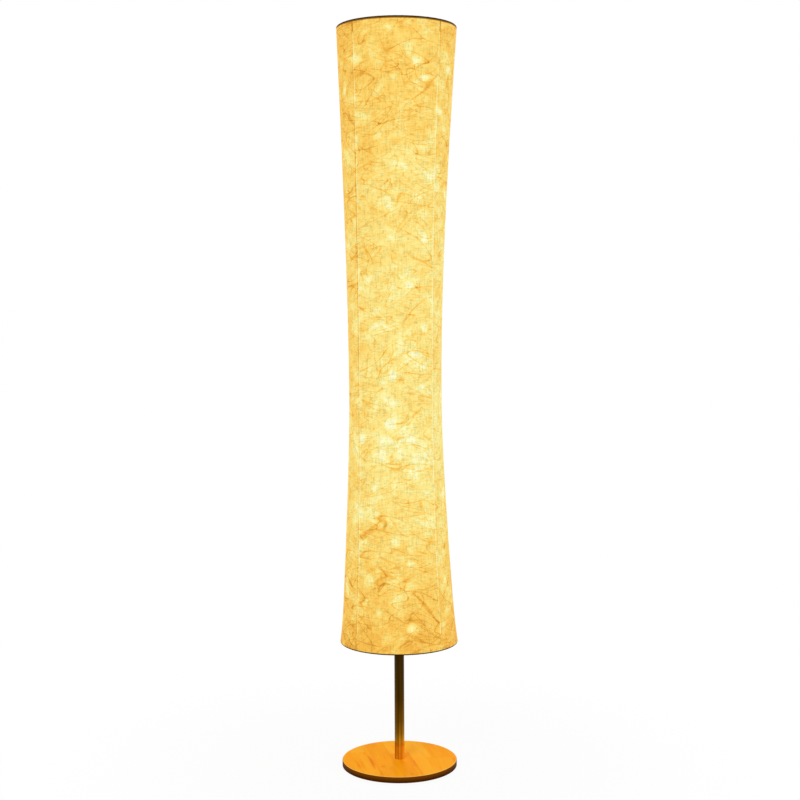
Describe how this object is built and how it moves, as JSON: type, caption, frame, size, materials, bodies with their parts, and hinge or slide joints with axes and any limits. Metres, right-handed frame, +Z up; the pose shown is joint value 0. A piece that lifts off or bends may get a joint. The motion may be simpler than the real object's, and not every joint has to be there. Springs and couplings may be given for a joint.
{
  "type": "floor lamp",
  "caption": "Floor lamp with a tall waisted paper lantern shade on a thin round pole over a round wooden base.",
  "frame": {"origin": "on the floor, at the middle of the base's underside", "axes": "+Z up along the pole, +Y towards the back, where the cord leaves the base, +X to the right seen from the front"},
  "size_m": [0.26, 0.26, 1.622],
  "materials": {
    "rubberwood": "satin clear lacquer over edge-glued light hardwood staves",
    "weight_steel": "black primer",
    "zinc_steel": "bright zinc plate",
    "felt": "matte black felt",
    "black_rubber": "matte",
    "lead_sheath": "matte",
    "pole_metal": "polished, dark bronze tone",
    "nylon": "matte",
    "frame_wire": "dark bronze paint, satin",
    "glass_fibre": "satin pultruded rod",
    "sleeve_tube": "matte tube",
    "clip_plastic": "matte",
    "rim_paper": "paper turned over the wire",
    "lantern_paper": "translucent laminated paper with long fibres, lit from inside",
    "finial_brass": "satin",
    "holder_black": "matte",
    "porcelain": "gloss",
    "contact_brass": "satin",
    "bulb_opal": "opal diffuser, lit",
    "bulb_white": "satin",
    "bulb_cap_metal": "bright",
    "insulator_glass": "gloss",
    "board_metal": "satin"
  },
  "bodies": {
    "stand": {"base_disc": "rubberwood", "base_weight": "weight_steel", "weight_screws": "zinc_steel", "base_felt": "felt", "cord_grommet": "black_rubber", "lead_splices": "lead_sheath", "foot_nipple": "zinc_steel", "foot_washer": "zinc_steel", "foot_nut": "zinc_steel", "pole_lower": "pole_metal", "pole_middle": "pole_metal", "pole_upper": "pole_metal", "tube_bushes": "zinc_steel", "joint_nipples": "zinc_steel", "lower_bracket": "zinc_steel", "upper_bracket": "zinc_steel", "lower_lead": "lead_sheath", "upper_lead": "lead_sheath", "lead_bushings": "black_rubber", "top_stud": "pole_metal", "pivot_washer": "nylon", "holder_nipples": "zinc_steel", "holder_nuts": "zinc_steel", "lower_holder_cap": "holder_black", "lower_holder_shell": "holder_black", "lower_holder_insert": "porcelain", "lower_screw_shell": "contact_brass", "lower_centre_contact": "contact_brass", "upper_holder_cap": "holder_black", "upper_holder_shell": "holder_black", "upper_holder_insert": "porcelain", "upper_screw_shell": "contact_brass", "upper_centre_contact": "contact_brass"},
    "shade": {"top_ring": "frame_wire", "bottom_ring": "frame_wire", "top_spider": "frame_wire", "bottom_spider": "frame_wire", "guide_bush": "nylon", "shade_rods": "glass_fibre", "rod_sleeves": "sleeve_tube", "top_rod_clips": "clip_plastic", "bottom_rod_clips": "clip_plastic", "top_hem": "rim_paper", "bottom_hem": "rim_paper", "shade_panel_front": "lantern_paper", "shade_panel_right": "lantern_paper", "shade_panel_back": "lantern_paper", "shade_panel_left": "lantern_paper"},
    "finial_core": {"finial_insert": "finial_brass"},
    "finial": {"finial_knob": "finial_brass"},
    "lower_bulb_core": {"lower_led_board": "board_metal"},
    "lower_bulb": {"lower_bulb_tip": "insulator_glass", "lower_bulb_cap": "bulb_cap_metal", "lower_bulb_housing": "bulb_white", "lower_bulb_dome": "bulb_opal"},
    "upper_bulb_core": {"upper_led_board": "board_metal"},
    "upper_bulb": {"upper_bulb_tip": "insulator_glass", "upper_bulb_cap": "bulb_cap_metal", "upper_bulb_housing": "bulb_white", "upper_bulb_dome": "bulb_opal"}
  },
  "joints": [
    {"name": "shade_turn", "type": "hinge", "parent": "stand", "child": "shade", "pos_m": [0, 0, 1.593], "axis": [0, 0, 1], "continuous": true},
    {"name": "finial_rise", "type": "slide", "parent": "stand", "child": "finial_core", "axis": [0, 0, 1], "range_m": [0, 0.0075]},
    {"name": "finial_turn", "type": "hinge", "parent": "finial_core", "child": "finial", "pos_m": [0, 0, 1.598], "axis": [0, 0, 1], "range_deg": [0, 2880]},
    {"name": "lower_bulb_rise", "type": "slide", "parent": "stand", "child": "lower_bulb_core", "axis": [0, 0, 1], "range_m": [0, 0.0145]},
    {"name": "lower_bulb_turn", "type": "hinge", "parent": "lower_bulb_core", "child": "lower_bulb", "pos_m": [0.03182, -0.03182, 0.562], "axis": [0, 0, 1], "range_deg": [0, 1440]},
    {"name": "upper_bulb_rise", "type": "slide", "parent": "stand", "child": "upper_bulb_core", "axis": [0, 0, 1], "range_m": [0, 0.0145]},
    {"name": "upper_bulb_turn", "type": "hinge", "parent": "upper_bulb_core", "child": "upper_bulb", "pos_m": [0.03182, -0.03182, 1.197], "axis": [0, 0, 1], "range_deg": [0, 1440]}
  ],
  "couplings": [
    {"joint": "finial_turn", "follows": "finial_rise", "rad_per_m": 6684.2},
    {"joint": "lower_bulb_turn", "follows": "lower_bulb_rise", "rad_per_m": 1731.4},
    {"joint": "upper_bulb_turn", "follows": "upper_bulb_rise", "rad_per_m": 1731.4}
  ]
}
